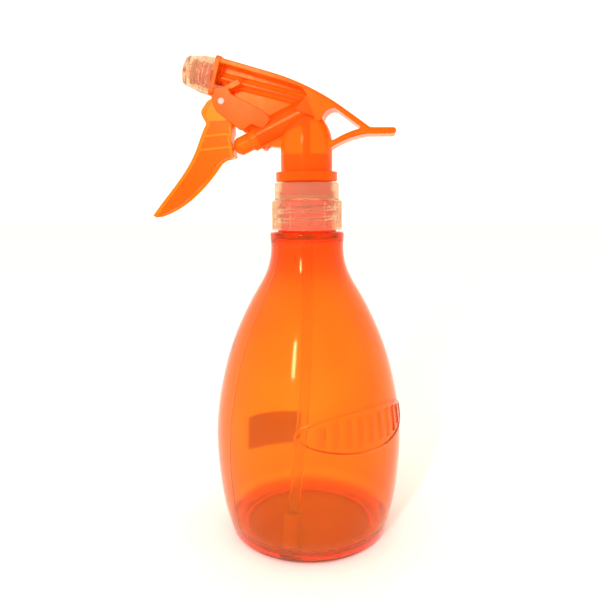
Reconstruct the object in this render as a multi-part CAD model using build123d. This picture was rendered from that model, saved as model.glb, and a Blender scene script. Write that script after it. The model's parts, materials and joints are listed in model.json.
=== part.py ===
from build123d import *
import math
import os

# Hand mister: a squeeze-trigger sprayer screwed on a round bottle.
# Millimetres. The origin is on the bottle's axis, on the plane it stands on, and +Z is up.
# The nozzle and the trigger point to -X, the tail of the sprayer points to +X.

# ---- bottle ----
BOTTLE_WALL = 1.0
BASE_RING_IN, BASE_RING_OUT = 33.5, 36.0
PUNT_RISE = 2.5
BELLY = [(38.9, 3.2), (42.35, 16), (44.6, 33), (45.27, 50), (44.2, 64), (41.6, 78), (37.8, 92),
         (32.2, 106), (24.9, 120), (19.35, 130), (17.35, 138), (17.1, 142)]
BEAD_R, BEAD_LOW, BEAD_TOP = 17.5, 144.6, 148.5
LAND_R, LAND_TOP = 13.8, 149.3
NECK_R, NECK_BORE, NECK_TOP = 12.5, 10.9, 164.3
NECK_THREAD_R = 13.7
NECK_PITCH = 4.23
NECK_THREAD_Z, NECK_THREAD_TURNS, NECK_THREAD_START = 154.6, 1.96, 91.8

# ---- raised badge on the bottle: an oval rim round plain upright ribs ----
SEAM_ANGLE = 135.0
BADGE_ANGLE, BADGE_Z = -44.4, 63.3
BADGE_HALF_L, BADGE_HALF_H = 32.4, 10.2
BADGE_RIM, BADGE_PROUD, BADGE_ROOT = 1.3, 0.5, 0.4
BADGE_RIBS, BADGE_RIB_STEP = 9, 8.0
BADGE_RIB_W, BADGE_RIB_H, BADGE_RIB_GAP = 2.8, 12.4, 1.5

# ---- blank label on the bottle ----
LABEL_ANGLE, LABEL_Z, LABEL_TILT = 125.0, 35.0, 3.5
LABEL_L, LABEL_H, LABEL_T, LABEL_GAP = 31.0, 18.5, 0.2, 0.03

# ---- screw collar and gasket ----
COLLAR_LOW, COLLAR_TOP = 149.6, 171.3
COLLAR_R, COLLAR_BEAD_R, COLLAR_NECK_R = 16.1, 16.6, 15.1
COLLAR_STEP_Z = 163.4
COLLAR_BORE, COLLAR_THREAD_R = 14.2, 12.9
COLLAR_RIBS = 24
COLLAR_RIB_W, COLLAR_RIB_H = 0.8, 0.4
GASKET_Z, GASKET_T, GASKET_R, GASKET_BORE = 164.32, 1.0, 13.0, 9.6

# ---- sprayer head ----
SEAT_Z = 165.34
RETAINER_R, RETAINER_TOP = 13.0, 167.2
FLANGE_R, FLANGE_LOW, FLANGE_TOP = 14.35, 171.8, 176.2
COLUMN_R, COLUMN_SPRING, COLUMN_DOME = 12.0, 188.0, 15.4
COLUMN_WALL = 1.6
STEM_R, STEM_BORE, STEM_TOP = 5.6, 4.5, 183.0
INLET_R = 1.6
SHELL_HALF = 7.25
WEB_T = 1.4

# barrel and nozzle: distances along the barrel run forward from the face of the front plate
BARREL_SLOPE = 15.3
BARREL_FACE = (-42.0, 219.7)
BARREL_R, BARREL_BACK = 3.1, -43.0
BARREL_BORE, VALVE_BORE, VALVE_CONE = 1.1, 2.3, -4.2
PLATE_W, PLATE_H, PLATE_T = 15.6, 17.8, 2.0
BOSS_R, BOSS_L = 5.85, 2.3
NOSE_R, NOSE_END = 3.6, 6.0
NOZZLE_BASE_R, NOZZLE_BASE_END = 5.05, 7.6
NOZZLE_THREAD_R, NOZZLE_PITCH = 5.6, 1.6
CAP_BACK, CAP_FRONT = 0.3, 14.6
CAP_R_BACK, CAP_R_MID, CAP_R_FRONT, CAP_MID = 8.4, 7.85, 6.75, 7.8
CAP_BORE, CAP_THREAD_R = 5.9, 5.3
CAP_FLUTES = 24
ORIFICE_R = 0.4
SEAL_BACK, SEAL_T, SEAL_R = 9.62, 1.1, 5.6

# pump: distances along the pump run inward from the centre of the cylinder's mouth
PUMP_SLOPE = 24.5
PUMP_MOUTH = (-22.6, 192.3)
CYLINDER_R, CYLINDER_BORE, CYLINDER_L, CYLINDER_DEPTH = 6.75, 5.5, 30.0, 28.0
ROD_R, ROD_TIP, ROD_NOSE_R = 4.2, -12.48, 4.5
HEAD_R, HEAD_START, PISTON_END = 5.2, -3.2, 9.8
SPRING_R, SPRING_WIRE, SPRING_COILS = 2.8, 0.7, 8.5
SPRING_FROM, SPRING_TO = 9.95, 27.8

# trigger
PIVOT = (-38.3, 208.2)
PIN_R, PIN_HALF = 1.5, 7.1
PIN_CLEARANCE = 0.07
TRIGGER_HALF, TRIGGER_WALL = 4.7, 1.4
HUB_R = 4.2
CHEEK_IN, CHEEK_OUT = 5.0, 6.8

# valves, dip tube and filter
BALL_R, OUTLET_BALL_R = 2.2, 1.9
SEAT_BORE, OUTLET_SEAT_BORE = 1.3, 1.1
BALL_LIFT_OFF = 0.02
INLET_CONE = 176.0
CHAMBER_R, CHAMBER_TOP = 2.9, 181.5
CLICK_R = 8.0
TUBE_R, TUBE_BORE, TUBE_TOP = 2.75, 2.0, 172.8
FILTER_R, FILTER_L = 4.35, 16.0
TUBE_ROUTE = [(0, 0, TUBE_TOP), (0, 0, 143), (0.6, -5, 110), (0.4, -14.5, 72), (-2.2, -22.4, 42)]
FILTER_FOOT = (-5.9, -29.0, 3.5)


def frame(origin, slope, forward):
    """A plane in XZ whose normal runs along a sloping axis; forward is -1 towards the nozzle."""
    a = math.radians(slope)
    return Plane(origin=(origin[0], 0, origin[1]), x_dir=(0, 1, 0),
                 z_dir=(forward * math.cos(a), 0, math.sin(a)))


BARREL = frame(BARREL_FACE, BARREL_SLOPE, -1)
PUMP = frame(PUMP_MOUTH, PUMP_SLOPE, 1)


def rod(radius, low, high):
    """A cylinder about Z from low to high."""
    return Pos(0, 0, low) * Cylinder(radius, high - low, align=(Align.CENTER, Align.CENTER, Align.MIN))


def tube(radius, bore, low, high):
    return rod(radius, low, high) - rod(bore, low - 1, high + 1)


def turned(points):
    """A solid of revolution about Z from (radius, height) points."""
    outline = Polyline(*[(r, 0, z) for r, z in points], close=True)
    return revolve(make_face(outline), Axis.Z)


def side_plate(outline, y_low, y_high):
    """A face or closed outline in XZ, extruded from y_low to y_high."""
    face = outline if isinstance(outline, Face) else make_face(outline)
    return Pos(0, y_low, 0) * extrude(face, amount=y_high - y_low, dir=(0, 1, 0))


def polygon(points):
    return Polyline(*[(x, 0, z) for x, z in points], close=True)


def rounded(face, corners):
    """A face in XZ with some corners rounded; each is (x, z, radius)."""
    for x, z, radius in corners:
        face = fillet(face.vertices().sort_by_distance((x, 0, z))[0], radius)
    return face


def softened(plate, radius):
    """Rounds the long edges on both flat sides of a side plate."""
    sides = plate.faces().filter_by(Axis.Y)
    return fillet(sides.edges(), radius)


def screw_ridge(pitch, turns, r_root, r_tip, w_root, w_tip):
    """One helical thread ridge about Z, starting on +X at height 0."""
    path = Helix(pitch=pitch, height=pitch * turns, radius=r_root)
    start = Plane(origin=path @ 0, x_dir=(1, 0, 0), z_dir=path % 0)
    depth = r_tip - r_root
    outline = Polyline((0, -w_root / 2), (depth, -w_tip / 2), (depth, w_tip / 2), (0, w_root / 2),
                       close=True)
    return sweep(make_face(start * outline), path=path, is_frenet=True)


def coil(radius, wire, coils, low, high):
    """A round-wire helical spring about Z; radius is the outer one."""
    middle = radius - wire / 2
    height = high - low - wire
    path = Helix(pitch=height / coils, height=height, radius=middle)
    start = Plane(origin=path @ 0, z_dir=path % 0)
    return Pos(0, 0, low + wire / 2) * sweep(start * Circle(wire / 2), path=path, is_frenet=True)


# ---- bottle ----

def belly_points(offset):
    """The belly's curve moved outwards by offset, level with its own height."""
    return [(r + offset, 0, z) for r, z in BELLY]


def bottle_blank():
    outer = Spline(*belly_points(0))
    inner = Spline(*reversed(belly_points(-BOTTLE_WALL)))
    heel_r, heel_z = BELLY[0]
    neck_low_r, neck_low_z = BELLY[-1]
    floor = PUNT_RISE + BOTTLE_WALL
    punt_r = (BASE_RING_IN ** 2 + PUNT_RISE ** 2) / (2 * PUNT_RISE)
    sink = punt_r - math.sqrt(punt_r ** 2 - (BASE_RING_IN / 2) ** 2)
    punt_mid = (BASE_RING_IN / 2, 0, PUNT_RISE - sink)
    floor_mid = (BASE_RING_IN / 2, 0, floor - sink)
    w = BOTTLE_WALL
    pieces = [
        ThreePointArc((0, 0, PUNT_RISE), punt_mid, (BASE_RING_IN, 0, 0)),
        Line((BASE_RING_IN, 0, 0), (BASE_RING_OUT, 0, 0)),
        ThreePointArc((BASE_RING_OUT, 0, 0), (heel_r - 0.75, 0, 0.85), (heel_r, 0, heel_z)),
        outer,
        Spline((neck_low_r, 0, neck_low_z), (BEAD_R - 0.1, 0, BEAD_LOW), (BEAD_R, 0, BEAD_TOP - 1)),
        ThreePointArc((BEAD_R, 0, BEAD_TOP - 1), (BEAD_R - 0.3, 0, BEAD_TOP - 0.3),
                      (BEAD_R - 1, 0, BEAD_TOP)),
        Polyline((BEAD_R - 1, 0, BEAD_TOP), (LAND_R, 0, BEAD_TOP), (LAND_R, 0, LAND_TOP),
                 (NECK_R, 0, LAND_TOP + 0.6), (NECK_R, 0, NECK_TOP - 0.4), (NECK_R - 0.4, 0, NECK_TOP),
                 (NECK_BORE, 0, NECK_TOP), (NECK_BORE, 0, BEAD_TOP - w),
                 (neck_low_r - w, 0, BEAD_LOW + 1), (neck_low_r - w, 0, neck_low_z)),
        inner,
        ThreePointArc((heel_r - w, 0, heel_z), (heel_r - w - 0.7, 0, 1.6), (BASE_RING_OUT - 0.4, 0, w)),
        Line((BASE_RING_OUT - 0.4, 0, w), (BASE_RING_IN, 0, w)),
        ThreePointArc((BASE_RING_IN, 0, w), floor_mid, (0, 0, floor)),
        Line((0, 0, floor), (0, 0, PUNT_RISE)),
    ]
    return revolve(make_face(pieces), Axis.Z)


def wall_skin(inside, outside, facing, spread=120):
    """A curved sheet that follows the belly between two offsets, centred on a direction."""
    low_in, low_out = belly_points(inside)[0], belly_points(outside)[0]
    high_in, high_out = belly_points(inside)[-1], belly_points(outside)[-1]
    outline = [Spline(*belly_points(outside)), Line(high_out, high_in),
               Spline(*reversed(belly_points(inside))), Line(low_in, low_out)]
    return Rot(0, 0, facing - spread / 2) * revolve(make_face(outline), Axis.Z, revolution_arc=spread)


def facing_plane(angle, height):
    """A plane through the axis that faces outwards, its X level and its Y up."""
    a = math.radians(angle)
    return Plane(origin=(0, 0, height), x_dir=(-math.sin(a), math.cos(a), 0),
                 z_dir=(math.cos(a), math.sin(a), 0))


def badge():
    wall_r = BELLY[4][0]
    inner_l, inner_h = BADGE_HALF_L - BADGE_RIM, BADGE_HALF_H - BADGE_RIM
    drawing = Ellipse(BADGE_HALF_L, BADGE_HALF_H) - Ellipse(inner_l, inner_h)
    for i in range(BADGE_RIBS):
        turn = (i - (BADGE_RIBS - 1) / 2) * BADGE_RIB_STEP
        across = wall_r * math.sin(math.radians(turn))
        room = inner_h * math.sqrt(1 - (across / inner_l) ** 2)
        height = min(BADGE_RIB_H, 2 * (room - BADGE_RIB_GAP))
        drawing += Pos(across, 0) * RectangleRounded(BADGE_RIB_W, height, BADGE_RIB_W / 3)
    prism = extrude(facing_plane(BADGE_ANGLE, BADGE_Z) * drawing, amount=BELLY[3][0] + 5)
    return prism & wall_skin(-BADGE_ROOT, BADGE_PROUD, BADGE_ANGLE)


def bottle():
    thread = screw_ridge(NECK_PITCH, NECK_THREAD_TURNS, NECK_R - 0.2, NECK_THREAD_R, 2.1, 1.0)
    thread = Pos(0, 0, NECK_THREAD_Z) * Rot(0, 0, NECK_THREAD_START) * thread
    return Rot(0, 0, SEAM_ANGLE) * bottle_blank() + badge() + thread


def back_label():
    sticker = extrude(facing_plane(LABEL_ANGLE, LABEL_Z) * Rot(0, 0, LABEL_TILT)
                      * RectangleRounded(LABEL_L, LABEL_H, 1.0), amount=BELLY[3][0] + 5)
    return sticker & wall_skin(LABEL_GAP, LABEL_GAP + LABEL_T, LABEL_ANGLE)


# ---- collar and gasket ----

def screw_collar():
    shell = turned([
        (COLLAR_BORE, COLLAR_LOW), (COLLAR_BEAD_R, COLLAR_LOW), (COLLAR_BEAD_R, COLLAR_LOW + 1.1),
        (COLLAR_R, COLLAR_LOW + 1.5), (COLLAR_R, COLLAR_STEP_Z - 0.5), (COLLAR_NECK_R, COLLAR_STEP_Z),
        (COLLAR_NECK_R, COLLAR_TOP - 0.9), (COLLAR_NECK_R - 0.25, COLLAR_TOP - 0.3),
        (COLLAR_NECK_R - 0.8, COLLAR_TOP), (COLUMN_R + 0.4, COLLAR_TOP),
        (COLUMN_R + 0.4, RETAINER_TOP + 0.15), (RETAINER_R + 0.45, RETAINER_TOP + 0.15),
        (RETAINER_R + 0.45, NECK_TOP - 0.3), (COLLAR_BORE, NECK_TOP - 0.9)])
    thread = screw_ridge(NECK_PITCH, NECK_THREAD_TURNS, COLLAR_BORE + 0.2, COLLAR_THREAD_R, 2.0, 0.9)
    lead = NECK_THREAD_Z - NECK_PITCH / 2
    shell += Pos(0, 0, lead) * Rot(0, 0, NECK_THREAD_START) * thread
    rib_low, rib_top = COLLAR_LOW + 1.2, COLLAR_STEP_Z - 0.9
    rib = Pos(COLLAR_R, 0, (rib_low + rib_top) / 2) * Box(2 * COLLAR_RIB_H, COLLAR_RIB_W, rib_top - rib_low)
    for i in range(COLLAR_RIBS):
        shell += Rot(0, 0, (i + 0.5) * 360 / COLLAR_RIBS) * rib
    return shell


def neck_gasket():
    return tube(GASKET_R, GASKET_BORE, GASKET_Z, GASKET_Z + GASKET_T)


# ---- sprayer head ----

def column():
    """The riser: a hollow round column with a pointed dome, on the flange that the collar turns under."""
    dome = revolve(make_face([
        Line((0, 0, SEAT_Z), (COLUMN_R, 0, SEAT_Z)),
        Line((COLUMN_R, 0, SEAT_Z), (COLUMN_R, 0, COLUMN_SPRING)),
        Spline(*[(COLUMN_R * math.cos(t), 0, COLUMN_SPRING + COLUMN_DOME * math.sin(t))
                 for t in [math.radians(15 * k) for k in range(7)]],
               tangents=[(0, 0, 1), (-1, 0, 0)]),
        Line((0, 0, COLUMN_SPRING + COLUMN_DOME), (0, 0, SEAT_Z)),
    ]), Axis.Z)
    flange = fillet(rod(FLANGE_R, FLANGE_LOW, FLANGE_TOP).edges(), 0.6)
    return dome + rod(RETAINER_R, SEAT_Z, RETAINER_TOP) + flange


def column_hollows():
    """The vent space round the stem, the stem's bore and the inlet passage to the pump."""
    vent = tube(COLUMN_R - COLUMN_WALL, STEM_R, SEAT_Z - 1, COLUMN_SPRING - 4)
    return vent + rod(STEM_BORE, SEAT_Z - 1, STEM_TOP) + rod(INLET_R, SEAT_Z, 199)


def roof_and_tail():
    """The roof over the barrel, running back and down into the forked tail."""
    top_line = Line((-40.0, 0, 227.7), (-15, 0, 220.0))
    top_bow = ThreePointArc((-15, 0, 220.0), (1.6, 0, 213.35), (16.5, 0, 204.5))
    tail_line = Line((16.5, 0, 204.5), (28.0, 0, 196.2))
    tail_turn = ThreePointArc((28.0, 0, 196.2), (29.1, 0, 195.4), (30.6, 0, 195.1))
    outline = [
        top_line, top_bow, tail_line, tail_turn,
        Line((30.6, 0, 195.1), (39.6, 0, 194.9)),
        ThreePointArc((39.6, 0, 194.9), (40.9, 0, 193.6), (39.6, 0, 192.2)),
        Line((39.6, 0, 192.2), (28.2, 0, 192.3)),
        ThreePointArc((28.2, 0, 192.3), (18.8, 0, 190.0), (10.2, 0, 185.4)),
        Polyline((10.2, 0, 185.4), (4, 0, 184), (4, 0, 200), (-5, 0, 203.5), (-1.2, 0, 207.2),
                 (1.0, 0, 209.8), (-1.1, 0, 212.7)),
        ThreePointArc((-1.1, 0, 212.7), (-8.5, 0, 215.5), (-16, 0, 217.8)),
        Line((-16, 0, 217.8), (-40.6, 0, 225.5)),
        Line((-40.6, 0, 225.5), (-40.0, 0, 227.7)),
    ]
    shell = softened(side_plate(outline, -SHELL_HALF, SHELL_HALF), 0.5)
    hole = [
        Line((4, 0, 197.5), (8.0, 0, 199.2)),
        ThreePointArc((8.0, 0, 199.2), (9.3, 0, 202.0), (12.2, 0, 203.6)),
        ThreePointArc((12.2, 0, 203.6), (13.5, 0, 203.6), (14.7, 0, 203.0)),
        Line((14.7, 0, 203.0), (24.4, 0, 195.9)),
        ThreePointArc((24.4, 0, 195.9), (24.9, 0, 195.2), (24.2, 0, 194.5)),
        ThreePointArc((24.2, 0, 194.5), (18.8, 0, 192.7), (13.6, 0, 190.2)),
        ThreePointArc((13.6, 0, 190.2), (12.2, 0, 190.0), (11.2, 0, 191.0)),
        Polyline((11.2, 0, 191.0), (4, 0, 193), (4, 0, 197.5)),
    ]
    return shell - side_plate(hole, -SHELL_HALF - 1, SHELL_HALF + 1)


def web():
    """The thin middle web that joins roof, barrel and pump cylinder."""
    outline = polygon([(-40.2, 226.5), (-15, 219), (3, 211), (3, 200), (-14, 197), (-22.4, 199.5),
                       (-29.0, 206.5), (-33.4, 210.9), (-38, 215.5), (-42.6, 217.5)])
    return side_plate(outline, -WEB_T / 2, WEB_T / 2)


def front_plate():
    plate = extrude(RectangleRounded(PLATE_W, PLATE_H, 1.5), amount=-PLATE_T)
    plate = fillet(plate.faces().sort_by(Axis.Z)[-1].edges(), 0.4)
    boss = fillet(rod(BOSS_R, -0.5, BOSS_L).faces().sort_by(Axis.Z)[-1].edges(), 0.3)
    return BARREL * (plate + boss + rod(NOSE_R, 0, NOSE_END) + rod(BARREL_R, BARREL_BACK, 1))


def barrel_hollows():
    """The outlet passage, its valve seat cone and the valve chamber."""
    cone_l = VALVE_BORE - BARREL_BORE
    cone = turned([(0, VALVE_CONE - 0.01), (BARREL_BORE, VALVE_CONE - 0.01), (BARREL_BORE, VALVE_CONE),
                   (VALVE_BORE, VALVE_CONE + cone_l), (0, VALVE_CONE + cone_l)])
    return BARREL * (rod(BARREL_BORE, BARREL_BACK, VALVE_CONE) + cone
                     + rod(VALVE_BORE, VALVE_CONE + cone_l, NOSE_END + 1))


def gusset():
    """The solid shoulder that carries the front plate on the barrel, above the trigger's hub."""
    outline = polygon([(-42.0, 213.9), (-37.5, 214.3), (-30.2, 217.8), (-28.9, 215.4), (-33.2, 213.4),
                       (-42.2, 213.2)])
    return softened(side_plate(outline, -CHEEK_OUT, CHEEK_OUT), 0.3)


def cheeks():
    """The two side plates that hold the trigger's pin and brace the pump cylinder."""
    outline = polygon([(-41.8, 214.2), (-34.9, 213.8), (-33.6, 211.2), (-18.5, 203.2), (-15.5, 199.5),
                       (-19, 195.5), (-24.6, 197.6), (-28.1, 195.1), (-30.0, 195.2), (-41.0, 204.0),
                       (-42.4, 208.0), (-43.3, 212.6)])
    outline = rounded(make_face(outline), [(-28.1, 195.1, 0.8), (-30.0, 195.2, 0.8), (-41.0, 204.0, 3.0)])
    right = softened(side_plate(outline, CHEEK_IN, CHEEK_OUT), 0.35)
    left = softened(side_plate(outline, -CHEEK_OUT, -CHEEK_IN), 0.35)
    return right + left


def cylinder_boss():
    """The pump cylinder with the skirt and snap tooth under it."""
    barrel = PUMP * rod(CYLINDER_R, 0, CYLINDER_L)
    barrel = fillet(barrel.edges().sort_by(Axis.X)[0:1], 0.5)
    skirt = polygon([(-20.4, 189.4), (-19.3, 186.2), (-17.5, 188.0), (-12, 187.3), (-6, 187.3), (-6, 197),
                     (-18, 192.6)])
    return barrel + side_plate(skirt, -4.6, 4.6)


def pin_hole(radius):
    return Pos(PIVOT[0], 0, PIVOT[1]) * Rot(90, 0, 0) * Cylinder(radius, 30)


def head_body():
    solid = column() + roof_and_tail() + web() + front_plate() + gusset() + cheeks() + cylinder_boss()
    bore = PUMP * rod(CYLINDER_BORE, -8, CYLINDER_DEPTH)
    return solid - bore - column_hollows() - barrel_hollows() - pin_hole(PIN_R)


# ---- trigger ----

def trigger_face():
    """The side view of the trigger: a curved blade, an arm, the hub on the pin and the ear before it."""
    x, z = PIVOT
    hub_back, hub_top = (x + HUB_R, 0, z), (x, 0, z + HUB_R)
    hub_mid = (x + HUB_R * math.cos(math.pi / 4), 0, z + HUB_R * math.sin(math.pi / 4))
    neck, tip_front, tip_back, heel = (-46.2, 0, 198.6), (-73.9, 0, 156.5), (-72.4, 0, 155.6), (-41.2, 0, 180.6)
    front = Spline(neck, (-48.9, 0, 193.2), (-51.6, 0, 186.7), (-55.3, 0, 179.9), (-63.4, 0, 169.2), tip_front)
    back = Spline(tip_back, (-61.0, 0, 160.9), (-50.3, 0, 169.7), heel)
    pad = Polyline(heel, (-38.8, 0, 182.2), (-33.6, 0, 183.2), (-35.0, 0, 192.3), (-34.3, 0, 193.8), hub_back)
    ear = Polyline(hub_top, (-45.6, 0, 208.6), (-49.0, 0, 203.8), neck)
    face = make_face([front, Line(tip_front, tip_back), back, pad,
                      ThreePointArc(hub_back, hub_mid, hub_top), ear])
    return rounded(face, [(-45.6, 208.6, 3.0), (-49.0, 203.8, 3.0), (-46.2, 198.6, 1.5), (-38.8, 182.2, 1.5),
                          (-41.2, 180.6, 2.0), (-35.0, 192.3, 0.8)])


def trigger():
    blade = softened(side_plate(trigger_face(), -TRIGGER_HALF, TRIGGER_HALF), 0.45)
    inside = TRIGGER_HALF - TRIGGER_WALL
    shifted = Pos(TRIGGER_WALL + 0.4, 0, -0.3) * side_plate(trigger_face(), -inside, inside)
    room = side_plate(polygon([(-80, 150), (-30, 150), (-30, 182.4), (-35.2, 182.4), (-36.6, 192.3),
                               (-35.9, 194.5), (-36.2, 200), (-80, 199.4)]), -inside, inside)
    channel = shifted & room
    for height, slope in [(193.4, 4.0), (187.4, 5.0)]:
        channel -= Pos(-44, 0, height) * Rot(0, -slope, 0) * Box(40, 20, 1.0)
    return blade - channel - pin_hole(PIN_R + PIN_CLEARANCE)


def trigger_pin():
    pin = Cylinder(PIN_R, 2 * PIN_HALF)
    pin = fillet(pin.edges(), 0.25)
    return Pos(PIVOT[0], 0, PIVOT[1]) * Rot(90, 0, 0) * pin


# ---- pump ----

def piston():
    rise = ROD_NOSE_R - math.sqrt(ROD_NOSE_R ** 2 - ROD_R ** 2)
    nose = Pos(0, 0, ROD_TIP + ROD_NOSE_R) * Sphere(ROD_NOSE_R) & rod(ROD_R, ROD_TIP - 1, ROD_TIP + rise)
    shaft = rod(ROD_R, ROD_TIP + rise, HEAD_START)
    neck = turned([(0, HEAD_START - 1.2), (ROD_R, HEAD_START - 1.2), (HEAD_R, HEAD_START + 0.2),
                   (HEAD_R, 0.4), (ROD_R, 0.6), (ROD_R, 2.4), (HEAD_R, 2.6), (HEAD_R, 4.2), (2.6, 4.2),
                   (2.6, PISTON_END - 0.6), (2.9, PISTON_END - 0.4), (2.6, PISTON_END), (0, PISTON_END)])
    return PUMP * (nose + shaft + neck)


def piston_seal():
    """The cup seal that pushes the liquid, with a lip at each end."""
    cup = turned([(2.63, 4.3), (5.0, 4.3), (5.46, 4.7), (5.46, 5.4), (4.7, 6.2), (4.7, 7.6),
                  (5.46, 8.8), (5.46, 9.4), (5.1, 9.4), (4.0, 8.3), (2.63, 8.3)])
    return PUMP * cup


def piston_wiper():
    """The ring that wipes the mouth of the cylinder and opens the vent."""
    ring = turned([(4.25, 0.75), (5.2, 0.75), (5.46, 1.2), (5.46, 1.8), (5.2, 2.25), (4.25, 2.25)])
    return PUMP * ring


def return_spring():
    return PUMP * coil(SPRING_R, SPRING_WIRE, SPRING_COILS, SPRING_FROM, SPRING_TO)


# ---- valves ----

def seated_ball(ball_r, bore, cone_z):
    """Height of a ball's centre when it rests on a 45 degree cone that starts at a bore."""
    touch = ball_r * math.sin(math.radians(45))
    return cone_z + (touch - bore) + touch + BALL_LIFT_OFF


def valve_seat():
    """The plug that holds the dip tube below and the inlet ball above."""
    cone_top = INLET_CONE + CHAMBER_R - SEAT_BORE
    body = turned([
        (TUBE_R + 0.04, 163), (STEM_BORE - 0.05, 163), (STEM_BORE - 0.05, 164.1), (CLICK_R, 164.1),
        (CLICK_R, SEAT_Z - 0.04), (STEM_BORE - 0.05, SEAT_Z - 0.04), (STEM_BORE - 0.05, CHAMBER_TOP + 0.7),
        (CHAMBER_R, CHAMBER_TOP + 0.7), (CHAMBER_R, cone_top), (SEAT_BORE, INLET_CONE),
        (SEAT_BORE, TUBE_TOP + 0.1), (TUBE_R + 0.04, TUBE_TOP + 0.1)])
    stop = Pos(0, 0, CHAMBER_TOP + 0.35) * Box(2 * CHAMBER_R + 0.4, 1.0, 0.7)
    return body + stop


def inlet_ball():
    return Pos(0, 0, seated_ball(BALL_R, SEAT_BORE, INLET_CONE)) * Sphere(BALL_R)


def outlet_ball():
    return BARREL * Pos(0, 0, seated_ball(OUTLET_BALL_R, OUTLET_SEAT_BORE, VALVE_CONE)) * Sphere(OUTLET_BALL_R)


def outlet_spring():
    return BARREL * coil(1.9, 0.35, 4.5, -0.6, 5.1)


# ---- nozzle ----

def nozzle_base():
    """The threaded sleeve on the barrel's nose, which the cap screws on."""
    sleeve = tube(NOZZLE_BASE_R, NOSE_R + 0.03, BOSS_L + 0.02, NOSE_END + 0.15)
    front = tube(NOZZLE_BASE_R, VALVE_BORE, NOSE_END + 0.15, NOZZLE_BASE_END)
    thread = screw_ridge(NOZZLE_PITCH, 2.2, NOZZLE_BASE_R - 0.15, NOZZLE_THREAD_R, 0.9, 0.4)
    return BARREL * (sleeve + front + Pos(0, 0, BOSS_L + 0.9) * thread)


def swirl_insert():
    """The spinner in front of the valve: a stem with flats and a disc with three slots."""
    part = rod(VALVE_BORE - 0.05, 5.2, NOZZLE_BASE_END + 0.02) + rod(4.2, NOZZLE_BASE_END + 0.02, 9.4)
    for side in (-1, 1):
        part -= Pos(0, side * VALVE_BORE, 6.4) * Box(6, 1.2, 2.5)
    for i in range(3):
        part -= Rot(0, 0, 120 * i) * Pos(2.7, 1.2, 9.2) * Box(4, 0.7, 0.8)
    return BARREL * part


def nozzle_seal():
    return BARREL * tube(SEAL_R, 1.2, SEAL_BACK, SEAL_BACK + SEAL_T)


def nozzle_cap():
    seal_front = SEAL_BACK + SEAL_T + 0.03
    body = turned([
        (BOSS_R + 0.35, CAP_BACK), (CAP_R_BACK, CAP_BACK), (CAP_R_MID, CAP_MID),
        (CAP_R_FRONT + 0.1, CAP_FRONT - 1.4), (CAP_R_FRONT - 0.3, CAP_FRONT - 0.5),
        (CAP_R_FRONT - 1.1, CAP_FRONT), (2.2, CAP_FRONT), (ORIFICE_R, CAP_FRONT - 0.9),
        (ORIFICE_R, 12.6), (2.4, 12.6), (3.2, seal_front), (SEAL_R + 0.05, seal_front),
        (SEAL_R + 0.05, SEAL_BACK - 0.1), (CAP_BORE, SEAL_BACK - 0.5), (CAP_BORE, BOSS_L + 0.8),
        (BOSS_R + 0.35, BOSS_L + 0.4)])
    thread = screw_ridge(NOZZLE_PITCH, 2.2, CAP_BORE + 0.15, CAP_THREAD_R, 0.9, 0.4)
    body += Pos(0, 0, BOSS_L + 0.9 + NOZZLE_PITCH / 2) * thread
    taper = math.degrees(math.atan((CAP_R_BACK - CAP_R_MID) / (CAP_MID - CAP_BACK)))
    flute_l = CAP_MID - CAP_BACK - 0.8
    middle_r, middle = (CAP_R_BACK + CAP_R_MID) / 2, (CAP_BACK + CAP_MID) / 2
    flute = Pos(middle_r, 0, middle) * Rot(0, -taper, 0) * Box(0.5, 0.7, flute_l)
    for i in range(CAP_FLUTES):
        body += Rot(0, 0, i * 360 / CAP_FLUTES) * flute
    return BARREL * body


# ---- dip tube ----

def tube_direction():
    return (Vector(FILTER_FOOT) - Vector(TUBE_ROUTE[-1])).normalized()


def dip_tube():
    """A bent tube of straight runs joined by tangent arcs, ending inside the filter."""
    end = Vector(FILTER_FOOT) - tube_direction() * 4
    points = [Vector(p) for p in TUBE_ROUTE] + [end]
    radii = []
    for before, here, after in zip(points, points[1:], points[2:]):
        turn = math.radians((here - before).get_angle(after - here))
        run = min((here - before).length, (after - here).length)
        radii.append(0.45 * run / math.tan(turn / 2))
    path = FilletPolyline(*points, radius=radii)
    start = Plane(origin=points[0], z_dir=points[1] - points[0])
    ring = start * (Circle(TUBE_R) - Circle(TUBE_BORE))
    return sweep(ring, path=path)


def tube_filter():
    """The round strainer pushed on the lower end of the dip tube."""
    up = Plane(origin=FILTER_FOOT, z_dir=tube_direction() * -1)
    body = rod(FILTER_R, 0, FILTER_L)
    body = fillet(body.edges(), 0.5)
    return up * (body - rod(TUBE_R + 0.03, 3.9, FILTER_L + 1))


NODES = {
    "bottle": bottle,
    "back_label": back_label,
    "screw_collar": screw_collar,
    "neck_gasket": neck_gasket,
    "head_body": head_body,
    "trigger": trigger,
    "trigger_pin": trigger_pin,
    "piston": piston,
    "piston_seal": piston_seal,
    "piston_wiper": piston_wiper,
    "return_spring": return_spring,
    "valve_seat": valve_seat,
    "inlet_ball": inlet_ball,
    "outlet_ball": outlet_ball,
    "outlet_spring": outlet_spring,
    "nozzle_base": nozzle_base,
    "swirl_insert": swirl_insert,
    "nozzle_seal": nozzle_seal,
    "nozzle_cap": nozzle_cap,
    "dip_tube": dip_tube,
    "tube_filter": tube_filter,
}

os.makedirs("parts", exist_ok=True)
for name, build in NODES.items():
    export_step(build(), f"parts/{name}.step")
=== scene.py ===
import math

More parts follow.
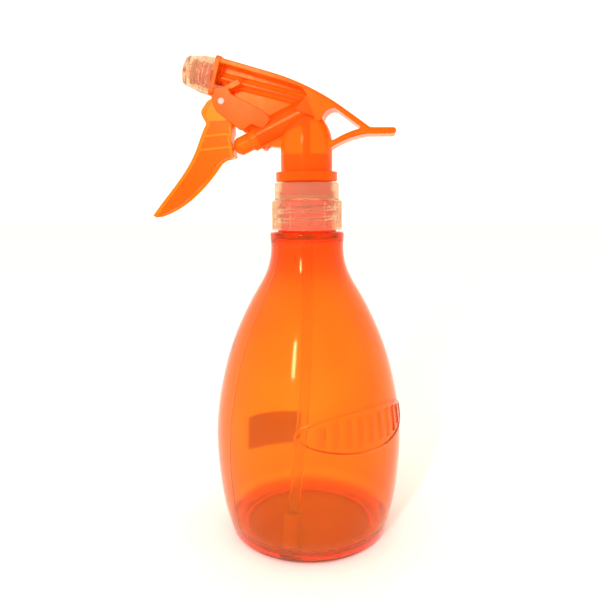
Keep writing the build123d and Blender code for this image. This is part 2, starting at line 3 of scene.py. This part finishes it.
import bmesh
import bpy
import numpy as np
from mathutils import Matrix, Vector
from mathutils.bvhtree import BVHTree
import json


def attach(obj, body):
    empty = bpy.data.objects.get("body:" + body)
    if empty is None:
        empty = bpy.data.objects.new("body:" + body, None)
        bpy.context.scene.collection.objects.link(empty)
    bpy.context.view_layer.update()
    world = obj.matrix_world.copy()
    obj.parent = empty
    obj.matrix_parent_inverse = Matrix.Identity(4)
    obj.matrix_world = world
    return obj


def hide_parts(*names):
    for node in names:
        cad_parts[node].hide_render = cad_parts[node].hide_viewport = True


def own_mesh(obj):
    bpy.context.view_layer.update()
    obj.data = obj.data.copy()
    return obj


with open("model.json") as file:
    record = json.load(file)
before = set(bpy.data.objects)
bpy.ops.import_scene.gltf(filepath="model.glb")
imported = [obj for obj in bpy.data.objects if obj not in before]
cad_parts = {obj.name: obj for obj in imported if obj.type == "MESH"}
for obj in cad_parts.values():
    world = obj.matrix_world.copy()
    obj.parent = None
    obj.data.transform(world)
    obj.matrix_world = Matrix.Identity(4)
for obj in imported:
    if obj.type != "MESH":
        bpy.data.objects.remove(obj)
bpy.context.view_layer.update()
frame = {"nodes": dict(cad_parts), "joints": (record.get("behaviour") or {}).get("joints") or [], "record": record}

MM = 0.001
scene = bpy.context.scene


# ---- where the camera stands ----

CAMERA_OUT = 289 * MM  # level distance from the bottle's axis
CAMERA_UP = 163.4 * MM
CAMERA_ROUND = 6.5  # degrees from -Y towards +X
CAMERA_PITCH, CAMERA_ROLL, CAMERA_YAW = 9.4, -0.5, 0.72
CAMERA_LENS, SENSOR_WIDTH = 36.3, 36  # millimetres
CLIP_START = 0.01


def make_camera():
    data = bpy.data.cameras.new("Camera")
    data.lens = CAMERA_LENS
    data.sensor_width = SENSOR_WIDTH
    data.clip_start = CLIP_START
    data.dof.use_dof = False
    camera = bpy.data.objects.new("Camera", data)
    scene.collection.objects.link(camera)
    a = math.radians(CAMERA_ROUND)
    place = Matrix.Translation((CAMERA_OUT * math.sin(a), -CAMERA_OUT * math.cos(a), CAMERA_UP))
    turn = Matrix.Rotation(a + math.radians(CAMERA_YAW), 4, "Z")
    tilt = Matrix.Rotation(math.radians(90 - CAMERA_PITCH), 4, "X")
    roll = Matrix.Rotation(math.radians(CAMERA_ROLL), 4, "Z")
    camera.matrix_world = place @ turn @ tilt @ roll
    scene.camera = camera


# ---- soft studio light ----

WORLD_COLOUR, WORLD_STRENGTH = (1, 0.84, 0.71), 1.45
STRIP_ROUND, STRIP_OUT, STRIP_UP = -13.5, 1.0, 0.52  # degrees from -Y towards +X, then metres
STRIP_AIM = (0, 0, 0.09)
STRIP_SIZE, STRIP_POWER = (0.075, 0.36), 6


def area_light(name, place, aim, size, power):
    data = bpy.data.lights.new(name, "AREA")
    data.shape = "RECTANGLE"
    data.size, data.size_y = size
    data.energy = power
    light = bpy.data.objects.new(name, data)
    scene.collection.objects.link(light)
    way = Vector(aim) - Vector(place)
    light.matrix_world = Matrix.Translation(place) @ way.to_track_quat("-Z", "Y").to_matrix().to_4x4()


def around(degrees, distance, height):
    """A place at an angle round the axis, counted from -Y towards +X."""
    a = math.radians(degrees)
    return (distance * math.sin(a), -distance * math.cos(a), height)


def make_light():
    """An even warm surround, a strip for the long highlight, and enough bounces to pass every wall."""
    world = bpy.data.worlds.new("Studio")
    scene.world = world
    world.use_nodes = True
    background = world.node_tree.nodes["Background"]
    background.inputs["Color"].default_value = (*WORLD_COLOUR, 1)
    background.inputs["Strength"].default_value = WORLD_STRENGTH
    area_light("Strip", around(STRIP_ROUND, STRIP_OUT, STRIP_UP), STRIP_AIM, STRIP_SIZE, STRIP_POWER)
    scene.view_settings.view_transform = "Standard"
    scene.cycles.max_bounces = 32
    scene.cycles.transmission_bounces = 32
    scene.cycles.glossy_bounces = 12
    scene.cycles.diffuse_bounces = 6


# ---- node helpers ----

RAMP_ENDS = (0.35, 0.65)  # where in a noise's spread its colours run from the first to the second
SPAN_ENDS = (0.3, 0.7)


class Nodes:
    """Short calls for building one material's node tree."""

    def __init__(self, name):
        self.material = bpy.data.materials.new(name)
        self.material.use_nodes = True
        self.tree = self.material.node_tree
        self.shader = self.tree.nodes["Principled BSDF"]
        self.place = self.tree.nodes.new("ShaderNodeTexCoord").outputs["Object"]

    def add(self, kind, **settings):
        node = self.tree.nodes.new(kind)
        for key, value in settings.items():
            setattr(node, key, value)
        return node

    def link(self, source, target):
        self.tree.links.new(source, target)

    def set(self, **values):
        for key, value in values.items():
            self.shader.inputs[key.replace("_", " ")].default_value = value

    def noise(self, scale, detail, rough=0.5, stretch=(1, 1, 1)):
        """Noise in metres, as a 0 to 1 socket; stretch draws it out along an axis."""
        mapping = self.add("ShaderNodeMapping")
        mapping.inputs["Scale"].default_value = stretch
        self.link(self.place, mapping.inputs["Vector"])
        node = self.add("ShaderNodeTexNoise")
        node.inputs["Scale"].default_value = scale
        node.inputs["Detail"].default_value = detail
        node.inputs["Roughness"].default_value = rough
        self.link(mapping.outputs["Vector"], node.inputs["Vector"])
        return node.outputs["Fac"]

    def ramp(self, source, low, high):
        """A colour that runs from low to high as source passes between two values."""
        node = self.add("ShaderNodeValToRGB")
        first, second = node.color_ramp.elements
        first.position, second.position = RAMP_ENDS
        first.color = (*low, 1)
        second.color = (*high, 1)
        self.link(source, node.inputs["Fac"])
        return node.outputs["Color"]

    def span(self, source, low, high):
        """A number that runs from low to high, and is held at both ends."""
        node = self.add("ShaderNodeMapRange")
        node.inputs["From Min"].default_value, node.inputs["From Max"].default_value = SPAN_ENDS
        node.inputs["To Min"].default_value = low
        node.inputs["To Max"].default_value = high
        self.link(source, node.inputs["Value"])
        return node.outputs["Result"]

    def by_height(self, colour, stops):
        """Multiplies colour by one that follows the height. The stops are (metres, colour) pairs."""
        split = self.add("ShaderNodeSeparateXYZ")
        self.link(self.place, split.inputs["Vector"])
        top = stops[-1][0]
        share = self.add("ShaderNodeMath", operation="DIVIDE")
        share.inputs[1].default_value = top
        self.link(split.outputs["Z"], share.inputs[0])
        ramp = self.add("ShaderNodeValToRGB")
        ramp.color_ramp.interpolation = "EASE"
        for height, shade in stops[1:-1]:
            ramp.color_ramp.elements.new(height / top)
        for element, (height, shade) in zip(ramp.color_ramp.elements, stops):
            element.position = height / top
            element.color = (*shade, 1)
        self.link(share.outputs["Value"], ramp.inputs["Fac"])
        mix = self.add("ShaderNodeMix", data_type="RGBA", blend_type="MULTIPLY")
        mix.inputs["Factor"].default_value = 1.0
        self.link(colour, mix.inputs["A"])
        self.link(ramp.outputs["Color"], mix.inputs["B"])
        return mix.outputs["Result"]

    def bump(self, source, depth, strength, under=None):
        """Surface relief up to depth metres high, on top of the relief given as under."""
        node = self.add("ShaderNodeBump")
        node.inputs["Strength"].default_value = strength
        node.inputs["Distance"].default_value = depth
        self.link(source, node.inputs["Height"])
        if under is not None:
            self.link(under, node.inputs["Normal"])
        return node.outputs["Normal"]


# ---- materials ----

SKIN_GRAIN = 0.01 * MM
WIRE_GRAIN = 0.01 * MM
PAPER_GRAIN = 0.04 * MM


def moulded(name, light, dark, clear, rough, ior=1.46, shine=0.12, tint=(1, 1, 1), ripple=0.12 * MM,
            stops=None):
    """Moulded translucent plastic: mottling where the melt ran, fine skin grain, handling marks.
    With stops the colour deepens and pales with height; the paling at the foot is painted light."""
    n = Nodes(name)
    n.set(Transmission_Weight=clear, IOR=ior, Specular_IOR_Level=shine, Specular_Tint=(*tint, 1))
    flow_and_painted_light = n.ramp(n.noise(45, 4, 0.55, (1, 1, 0.45)), dark, light)
    if stops is not None:
        # the height stops paint light into the colour: the pale foot is a painted lift against the shade under the
        # bottle
        flow_and_painted_light = n.by_height(flow_and_painted_light, stops)
    n.link(flow_and_painted_light, n.shader.inputs["Base Color"])
    scuff = n.noise(420, 5, 0.65, (1, 1, 0.3))
    n.link(n.span(scuff, rough * 0.8, rough * 1.25), n.shader.inputs["Roughness"])
    skin = n.bump(n.noise(2600, 2), SKIN_GRAIN, 0.4)
    n.link(n.bump(n.noise(60, 2), ripple, 0.5, skin), n.shader.inputs["Normal"])
    return n.material


def absorbing(material, colour, density):
    """Plain absorption inside a closed wall, so that a longer way through it comes out deeper."""
    tree = material.node_tree
    depth = tree.nodes.new("ShaderNodeVolumeAbsorption")
    depth.inputs["Color"].default_value = (*colour, 1)
    depth.inputs["Density"].default_value = density
    tree.links.new(depth.outputs["Volume"], tree.nodes["Material Output"].inputs["Volume"])


def steel(name):
    """Drawn wire: dark grey with fine lines along it and small stains."""
    n = Nodes(name)
    n.set(Metallic=1.0)
    stain = n.noise(900, 4)
    n.link(n.ramp(stain, (0.16, 0.13, 0.11), (0.42, 0.4, 0.38)), n.shader.inputs["Base Color"])
    n.link(n.span(n.noise(5000, 3), 0.24, 0.4), n.shader.inputs["Roughness"])
    n.link(n.bump(n.noise(9000, 2), WIRE_GRAIN, 0.5), n.shader.inputs["Normal"])
    return n.material


def paper(name):
    """A blank sticker: matt fibres with faint stains."""
    n = Nodes(name)
    n.set(Transmission_Weight=0.45, IOR=1.1, Specular_IOR_Level=0.1)
    fibre = n.noise(1600, 5, 0.7, (1, 1, 0.4))
    n.link(n.ramp(fibre, (0.72, 0.55, 0.4), (0.9, 0.7, 0.52)), n.shader.inputs["Base Color"])
    n.link(n.span(n.noise(500, 3), 0.75, 0.95), n.shader.inputs["Roughness"])
    n.link(n.bump(fibre, PAPER_GRAIN, 0.6), n.shader.inputs["Normal"])
    return n.material


def ground(name):
    """Pale matt paper for the floor."""
    n = Nodes(name)
    n.set(Specular_IOR_Level=0.15)
    n.link(n.ramp(n.noise(25, 3), (0.93, 0.93, 0.93), (0.96, 0.96, 0.96)), n.shader.inputs["Base Color"])
    n.link(n.span(n.noise(300, 3), 0.6, 0.75), n.shader.inputs["Roughness"])
    return n.material


AMBER_GLINT = (1, 0.55, 0.25)
HEIGHT_STOPS_WITH_PAINTED_LIGHT = [  # the bottle's colour from its foot to its mouth: pale in the base, a painted lift of light against the shade under the bottle; deepest at the shoulder
    (0, (1.0, 0.93, 0.5)),
    (0.006, (1.0, 0.9, 0.4)),
    (0.014, (1.0, 0.64, 0.11)),
    (0.075, (1.0, 0.66, 0.11)),
    (0.115, (1.0, 0.56, 0.08)),
    (0.14, (1.0, 0.36, 0.04)),
    (0.165, (1.0, 0.4, 0.05)),
]
BOTTLE = moulded("bottle_orange", (1.0, 1.0, 1.0), (1.0, 0.93, 0.85), 0.94, 0.09, ior=1.35, shine=0.05,
                 tint=AMBER_GLINT, ripple=0.2 * MM, stops=HEIGHT_STOPS_WITH_PAINTED_LIGHT)
absorbing(BOTTLE, (1.0, 0.73, 0.0), 1650)
HEAD = moulded("head_orange", (1.0, 0.17, 0.007), (1.0, 0.145, 0.005), 0.62, 0.2, ior=1.3, shine=0.12,
               tint=AMBER_GLINT, ripple=0.05 * MM)
TRIGGER = moulded("trigger_amber", (1.0, 0.29, 0.012), (1.0, 0.24, 0.009), 0.75, 0.2, ior=1.3, shine=0.12,
                  tint=AMBER_GLINT, ripple=0.05 * MM)
CLEAR = moulded("clear_plastic", (0.95, 0.66, 0.44), (0.92, 0.61, 0.4), 0.9, 0.19, ior=1.3, shine=0.3,
                ripple=0.02 * MM)
NATURAL = moulded("natural_plastic", (0.95, 0.6, 0.4), (0.9, 0.54, 0.36), 0.6, 0.35, ior=1.35)
TUBE = moulded("tube_plastic", (0.98, 0.96, 0.9), (0.95, 0.92, 0.86), 0.95, 0.2, ior=1.12)
PIN = moulded("pin_plastic", (0.5, 0.38, 0.33), (0.42, 0.31, 0.27), 0.15, 0.3, shine=0.4)
GLASS = moulded("ball_glass", (0.85, 0.95, 0.92), (0.8, 0.92, 0.9), 0.95, 0.03, shine=0.5)
STEEL = steel("spring_steel")
PAPER = paper("label_paper")
LOOKS = {
    "bottle_plastic": BOTTLE, "head_plastic": HEAD, "trigger_plastic": TRIGGER, "clear_plastic": CLEAR,
    "natural_plastic": NATURAL, "tube_plastic": TUBE, "pin_plastic": PIN, "ball_glass": GLASS,
    "spring_steel": STEEL, "label_paper": PAPER,
}


SHARP_ANGLE = 32  # degrees between faces, over which an edge stays sharp


def dress_nodes():
    """Gives every CAD node its material, and smooth shading with sharp edges kept."""
    for row in frame["record"]["subparts"]:
        node = frame["nodes"][row["node"]]
        node.data.materials.clear()
        node.data.materials.append(LOOKS[row["material_slot"]])
        smooth(node.data)


def smooth(mesh):
    mesh.polygons.foreach_set("use_smooth", [True] * len(mesh.polygons))
    mesh.set_sharp_from_angle(angle=math.radians(SHARP_ANGLE))


# ---- the bottle's wall, rebuilt finely enough for its badge and parting lines ----

CUT = 143 * MM  # just below the bead: the CAD mesh stays above it
LIP_GAP = 0.4 * MM  # between the kept mesh and the rebuilt wall, closed by a bridge
PROFILE_ANGLE = 135  # a plain side of the bottle, as a polar angle in degrees
PAD_R, PAD_Z = 44.3 * MM, 63.3 * MM  # the wall's radius and height at the badge's middle
BADGE_ANGLE = -44.4
BADGE_HALF_L, BADGE_HALF_H = 32.4 * MM, 10.2 * MM
BADGE_RIM, BADGE_PROUD = 1.4 * MM, 0.7 * MM
BADGE_RIBS, BADGE_STEP = 9, 8.0
RIB_W, RIB_H, RIB_GAP, RIB_SOFT = 2.9 * MM, 12.4 * MM, 1.5 * MM, 0.2 * MM
SEAM_ANGLES = (-136.0, 44.0)
SEAM_PROUD, SEAM_HALF = 0.15 * MM, 0.3 * MM
SEAM_LOW, SEAM_FADE = 3 * MM, 10 * MM  # the parting lines start at the first, over the length of the second
WAVE = 0.07 * MM
WAVE_FADE_R = 20 * MM
HEEL_OUT, HEEL_IN = (37.4 * MM, 1.2 * MM), (36.3 * MM, 3.0 * MM)  # radius and height where wall turns to base
FINE_STEP, COARSE_STEP = 0.3 * MM, 1.2 * MM
CENTRE_R = 0.3 * MM
RINGS_OUT, RINGS_IN = 40, 30
SMOOTHING_ROUNDS = 4
FAR = 0.3  # clear of the bottle on every side


def spread(first, last, count):
    return [first + (last - first) * k / (count - 1) for k in range(count)]


def heights(low):
    """Heights from the cut down to low, closer together where the badge is."""
    found, z = [], CUT
    while z > low:
        found.append(z)
        z -= FINE_STEP if abs(z - PAD_Z) < BADGE_HALF_H + 2 * MM else COARSE_STEP
    return found + [low]


def profiles(node):
    """Radius and height down the outside and down the inside, from the cut to the axis."""
    tree = BVHTree.FromObject(node, bpy.context.evaluated_depsgraph_get())
    a = math.radians(PROFILE_ANGLE)
    out, up = Vector((math.cos(a), math.sin(a), 0)), Vector((0, 0, 1))

    def met(place, way):
        return tree.ray_cast(place, way)[0]

    # each wall is met level by level down to its heel, and the base from below or from inside the hollow
    outside = [(met(out * FAR + up * z, -out).to_2d().length, z) for z in heights(HEEL_OUT[1])]
    outside += [(r, met(out * r - up * FAR, up).z) for r in spread(HEEL_OUT[0], CENTRE_R, RINGS_OUT)]
    inside = [(met(up * z, out).to_2d().length, z) for z in heights(HEEL_IN[1])]
    inside += [(r, met(out * r + up * CUT / 3, -up).z) for r in spread(HEEL_IN[0], CENTRE_R, RINGS_IN)]
    return smoothed(outside), smoothed(inside)


def smoothed(rows):
    """Evens out the small steps that the CAD mesh's facets leave along a profile."""
    rows = np.array(rows)
    for _ in range(SMOOTHING_ROUNDS):
        rows[1:-1] = (rows[:-2] + 2 * rows[1:-1] + rows[2:]) / 4
    return rows


def swell(distance, soft):
    """1 inside an edge and 0 outside it, with a soft shoulder; distance is negative inside."""
    t = np.clip(0.5 - distance / (2 * soft), 0, 1)
    return t * t * (3 - 2 * t)


def badge_height(angle, z):
    """An oval rim round a row of plain upright ribs."""
    turn = np.radians(angle - BADGE_ANGLE)
    u, v = PAD_R * np.sin(turn), z - PAD_Z
    facing = np.cos(turn) > 0.3
    f = np.hypot(u / BADGE_HALF_L, v / BADGE_HALF_H) + 1e-9
    slope = np.hypot(u / BADGE_HALF_L ** 2, v / BADGE_HALF_H ** 2) / f
    edge = (f - 1) / (slope + 1e-9)
    rim = swell(np.abs(edge + BADGE_RIM / 2) - BADGE_RIM / 4, BADGE_RIM / 3)
    ribs = np.zeros_like(u)
    for i in range(BADGE_RIBS):
        middle = PAD_R * math.sin(math.radians((i - (BADGE_RIBS - 1) / 2) * BADGE_STEP))
        room = (BADGE_HALF_H - BADGE_RIM) * math.sqrt(1 - (middle / (BADGE_HALF_L - BADGE_RIM)) ** 2)
        half = min(RIB_H / 2, room - RIB_GAP)
        du, dv = np.abs(u - middle) - RIB_W / 2, np.abs(v) - half
        away = np.hypot(np.maximum(du, 0), np.maximum(dv, 0)) + np.minimum(np.maximum(du, dv), 0)
        ribs = np.maximum(ribs, swell(away, RIB_SOFT))
    return BADGE_PROUD * np.where(facing, np.maximum(rim, ribs), 0)


def seam_height(angle, z, radius):
    """The mould's two parting lines, fading out towards the foot."""
    found = np.zeros_like(z)
    for seam in SEAM_ANGLES:
        away = (angle - seam + 180) % 360 - 180
        found = np.maximum(found, np.exp(-(np.radians(away) * radius / SEAM_HALF) ** 2))
    return SEAM_PROUD * found * np.clip((z - SEAM_LOW) / SEAM_FADE, 0, 1)


def columns():
    """Angles round the bottle: fine across the badge and at the parting lines."""
    start, fine, coarse, finest = -95, 0.5, 1.5, 0.25
    found = list(np.arange(start, 6, fine)) + list(np.arange(7, 264, coarse))
    for seam in SEAM_ANGLES:
        found += list(seam + np.arange(-1.5, 1.6, finest))
    wrapped = sorted({round((a - start) % 360, 3) for a in found})
    return np.array(wrapped) + start


def add_shell(bm, rows, angles, raise_by):
    """A grid of revolution from (radius, height) rows, closed at the axis. Returns its top ring."""
    turn = np.radians(angles)
    rings = []
    for radius, z in rows:
        r = radius + raise_by(angles, np.full_like(angles, z), radius)
        rings.append([bm.verts.new((a * math.cos(t), a * math.sin(t), z)) for a, t in zip(r, turn)])
    for upper, lower in zip(rings, rings[1:]):
        for k in range(len(turn)):
            n = (k + 1) % len(turn)
            bm.faces.new((upper[k], upper[n], lower[n], lower[k]))
    centre = bm.verts.new((0, 0, rows[-1][1]))
    for k, vert in enumerate(rings[-1]):
        bm.faces.new((vert, rings[-1][(k + 1) % len(turn)], centre))
    return rings[0]


def outer_relief(angle, z, radius):
    return badge_height(angle, z) + seam_height(angle, z, radius)


def inner_relief(angle, z, radius):
    """The slow waves that blowing leaves in the wall."""
    t = np.radians(angle)
    wave = np.sin(3 * t + 90 * z) * np.cos(55 * z + 1.3) + 0.6 * np.sin(7 * t - 130 * z + 0.7)
    return WAVE * wave * min(1, radius / WAVE_FADE_R)


def ring_edges(bm, ring):
    return [bm.edges.get((ring[k], ring[(k + 1) % len(ring)])) for k in range(len(ring))]


def bottle_wall(node):
    """The CAD mesh above the cut, joined to a finer outside and inside below it, as one closed wall."""
    outside, inside = profiles(node)
    bm = bmesh.new()
    bm.from_mesh(node.data)
    bmesh.ops.remove_doubles(bm, verts=bm.verts, dist=1e-6)
    lip = CUT + LIP_GAP
    whole = bm.verts[:] + bm.edges[:] + bm.faces[:]
    bmesh.ops.bisect_plane(bm, geom=whole, plane_co=(0, 0, lip), plane_no=(0, 0, 1), clear_inner=True)
    open_edges = [e for e in bm.edges if e.is_boundary]
    middle = (outside[0][0] + inside[0][0]) / 2
    outer_lip = [e for e in open_edges if e.verts[0].co.to_2d().length > middle]
    inner_lip = [e for e in open_edges if e.verts[0].co.to_2d().length < middle]
    angles = columns()
    outer_ring = add_shell(bm, outside, angles, outer_relief)
    inner_ring = add_shell(bm, inside, angles[::2], inner_relief)
    bmesh.ops.bridge_loops(bm, edges=outer_lip + ring_edges(bm, outer_ring))
    bmesh.ops.bridge_loops(bm, edges=inner_lip + ring_edges(bm, inner_ring))
    bmesh.ops.recalc_face_normals(bm, faces=bm.faces)
    mesh = bpy.data.meshes.new("bottle_wall")
    bm.to_mesh(mesh)
    bm.free()
    mesh.materials.append(BOTTLE)
    smooth(mesh)
    wall = bpy.data.objects.new("bottle_wall", mesh)
    scene.collection.objects.link(wall)
    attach(wall, "bottle")
    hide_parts("bottle")


# ---- the pump's spring, a copy that rides with the head ----


def pump_spring(node):
    """A copy of the CAD spring that rides with the head in place of the CAD node."""
    stroke = next(j for j in frame["joints"] if j["name"] == "piston_stroke")
    axis = Vector(stroke["axis"])
    spring = bpy.data.objects.new("pump_spring", node.data.copy())
    scene.collection.objects.link(spring)
    end = max((v.co for v in spring.data.vertices), key=axis.dot).copy()
    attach(spring, "head")
    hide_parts("return_spring")
    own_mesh(spring)


# ---- floor ----

FLOOR_SIZE, FLOOR_DROP = 8.0, 0.1 * MM
FLOOR_CELLS = 8


def make_floor():
    bm = bmesh.new()
    bmesh.ops.create_grid(bm, x_segments=FLOOR_CELLS, y_segments=FLOOR_CELLS, size=FLOOR_SIZE / 2)
    mesh = bpy.data.meshes.new("floor")
    bm.to_mesh(mesh)
    bm.free()
    mesh.materials.append(ground("floor_paper"))
    floor = bpy.data.objects.new("floor", mesh)
    floor.location.z = -FLOOR_DROP
    scene.collection.objects.link(floor)


make_camera()
make_light()
dress_nodes()
bottle_wall(frame["nodes"]["bottle"])
pump_spring(frame["nodes"]["return_spring"])
make_floor()
